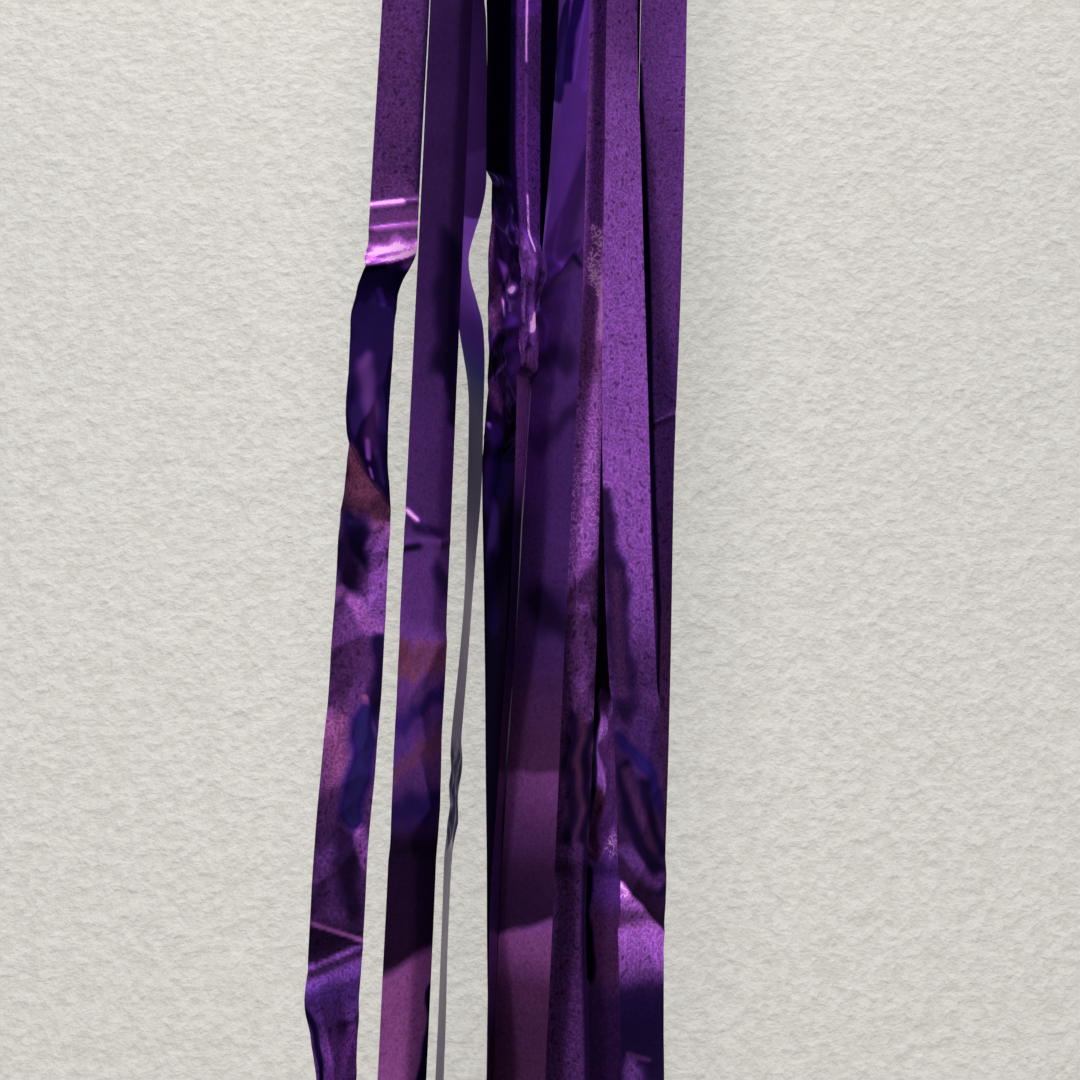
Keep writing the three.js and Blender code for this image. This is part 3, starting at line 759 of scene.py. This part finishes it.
def tube_mesh(name, px, py, pz, centre, bore):
    """Closes a tube's rows of rings with inner rings, so that it is a sleeve and not a rod."""
    inner = [np.concatenate([rows[:1], rows[-1:]]) for rows in (px, py, pz)]
    inner[1] = centre.y + (inner[1] - centre.y) * bore
    inner[2] = centre.z + (inner[2] - centre.z) * bore
    px, py, pz = (np.concatenate([outer, ends[::-1]]) for outer, ends in zip((px, py, pz), inner))
    i = np.arange(px.size).reshape(px.shape)
    following = np.roll(i, -1, axis=0)
    corners = [i, following, np.roll(following, -1, axis=1), np.roll(i, -1, axis=1)]
    return smooth_mesh(name, px, py, pz, corners)


def add_handle():
    materials = {
        "handle_shell": plastic_material(),
        "clamp_pad": rubber_material(),
        "header_tape": tape_material(),
        "screw_steel": steel_material(),
    }
    for part in frame["record"]["subparts"]:
        if part["material_slot"] in materials:
            use_material(part["node"], materials[part["material_slot"]])
    grip = add_piece("grip_foam", make_grip(), foam_material(), "handle")
    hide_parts("grip_sleeve")


add_handle()


# ---------------------------------------------------------------- stage and light
def plane(name, corners, material):
    """A flat piece of the stage, which isn't part of the object."""
    mesh = bpy.data.meshes.new(name)
    mesh.from_pydata(corners, [], [(0, 1, 2, 3)])
    mesh.materials.append(material)
    obj = bpy.data.objects.new(name, mesh)
    bpy.context.scene.collection.objects.link(obj)


def wall_material():
    """Pale wall with the stipple that a paint roller leaves, its low spots painted darker as shade, with
    a painted soft shadow of the bunch and painted shade towards the top.
    """
    material, sh = new_material("painted_wall")
    place = sh.millimetres((11, 11, 10))
    stipple = sh.noise(place, 1.0, 3.0, 0.6)
    drift = sh.noise(place, 0.25, 2.0)
    height = sh.plus(stipple, sh.times(drift, 0.8))
    # Painted shadow of the bunch: a soft dark upright band across the middle of the wall, deeper in its
    # upper part and fading out at top and bottom.
    spot = sh.add("SeparateXYZ", {0: sh.millimetres()}).outputs
    left, right = sh.between(spot["X"], -330, -60), sh.between(spot["X"], 330, 90)
    shadow_depth = sh.plus(0.13, sh.times(sh.between(spot["Z"], -600, 200), 0.14))
    ends = sh.times(sh.between(spot["Z"], 1300, 600), sh.between(spot["Z"], -1120, -800))
    painted_shadow = sh.times(sh.times(left, right), sh.times(shadow_depth, ends))
    # Painted shade: the wall darker towards the top, where the wash light from above falls brightest.
    painted_top_shade = sh.times(sh.between(spot["Z"], -600, 700), 0.15)
    light = sh.minus(sh.minus(1.0, painted_top_shade), painted_shadow)
    # Painted shade in the stipple: its low spots darker, its high spots paler.
    colour = sh.mix(sh.between(stipple, 0.3, 0.7), (0.60, 0.585, 0.55, 1), (0.68, 0.665, 0.63, 1))
    colour = sh.mix(light, (0.02, 0.02, 0.022, 1), colour)
    sh.surface({"Base Color": colour, "Roughness": 0.75, "Normal": sh.bump(height, 0.0036)})
    return material


def floor_material():
    """Pale floor with faint clouding."""
    material, sh = new_material("pale_floor")
    cloud = sh.noise(sh.millimetres(), 0.004, 2.0)
    colour = sh.mix(cloud, (0.60, 0.59, 0.57, 1), (0.64, 0.63, 0.61, 1))
    sh.surface({"Base Color": colour, "Roughness": 0.7})
    return material


def add_stage():
    side, wall_top, floor_front = 3, 3, -1.8
    wall_foot = [(-side, WALL_Y, FLOOR_Z), (side, WALL_Y, FLOOR_Z)]
    plane("wall", wall_foot + [(side, WALL_Y, wall_top), (-side, WALL_Y, wall_top)], wall_material())
    front = [(-side, floor_front, FLOOR_Z), (side, floor_front, FLOOR_Z)]
    plane("floor", front + wall_foot[::-1], floor_material())


def area_light(name, place, target, size, power, colour=(1, 1, 1)):
    """A rectangular soft light at a place, turned to a target."""
    data = bpy.data.lights.new(name, "AREA")
    data.shape, data.size, data.size_y = "RECTANGLE", *size
    data.energy, data.color = power, colour
    light = bpy.data.objects.new(name, data)
    light.location = place
    light.rotation_euler = (Vector(target) - Vector(place)).to_track_quat("-Z", "Y").to_euler()
    bpy.context.scene.collection.objects.link(light)


def add_room():
    """What the film mirrors: an even soft room, bright overhead, dark low down and to the sides."""
    world = bpy.data.worlds.new("room")
    bpy.context.scene.world = world
    sh = Shader(world)
    direction = sh.add("TexCoord").outputs["Generated"]
    x, _, z = sh.add("SeparateXYZ", {0: direction}).outputs
    even, ceiling = 0.57 / ROOM_GAIN, 2.3 / ROOM_GAIN
    heights = [
        (0.0, 0.01), (0.27, 0.015), (0.335, even), (0.80, even), (0.85, ceiling), (0.93, ceiling),
        (1.0, 0.15)]
    sides = [
        (0.0, 0.75), (0.06, 1.0), (0.28, 1.0), (0.31, 0.8), (0.35, 1.0), (0.66, 1.0), (0.68, 1.15),
        (0.72, 1.0), (1.0, 0.8)]
    by_height = sh.ramp(half_up(sh, z), [(at, (level, level, level)) for at, level in heights])
    by_side = sh.ramp(half_up(sh, x), [(at, (level, level, level ** 0.8)) for at, level in sides])
    room = sh.mix(1.0, by_height, by_side, "MULTIPLY")
    is_camera = sh.add("LightPath").outputs["Is Camera Ray"]
    plain = 0.62 / ROOM_GAIN
    colour = sh.mix(is_camera, room, (plain, plain, plain * 0.96, 1))
    background = sh.add("Background", {"Color": colour, "Strength": ROOM_GAIN})
    output = sh.add("OutputWorld")
    sh.tree.links.new(background.outputs[0], output.inputs["Surface"])


def half_up(sh, value):
    """-1 to 1 becomes 0 to 1."""
    return sh.plus(sh.times(value, 0.5), 0.5)


bpy.context.scene.view_settings.view_transform = "Standard"
add_stage()
add_room()
area_light("key", (-0.75, -0.8, 1.4), (0, 0, -0.2), (0.6, 0.6), 12.5)
area_light("wall_wash", (0.1, 0.3, 1.45), (0.1, WALL_Y, -0.95), (3.0, 0.5), 14, (1.0, 0.985, 0.95))
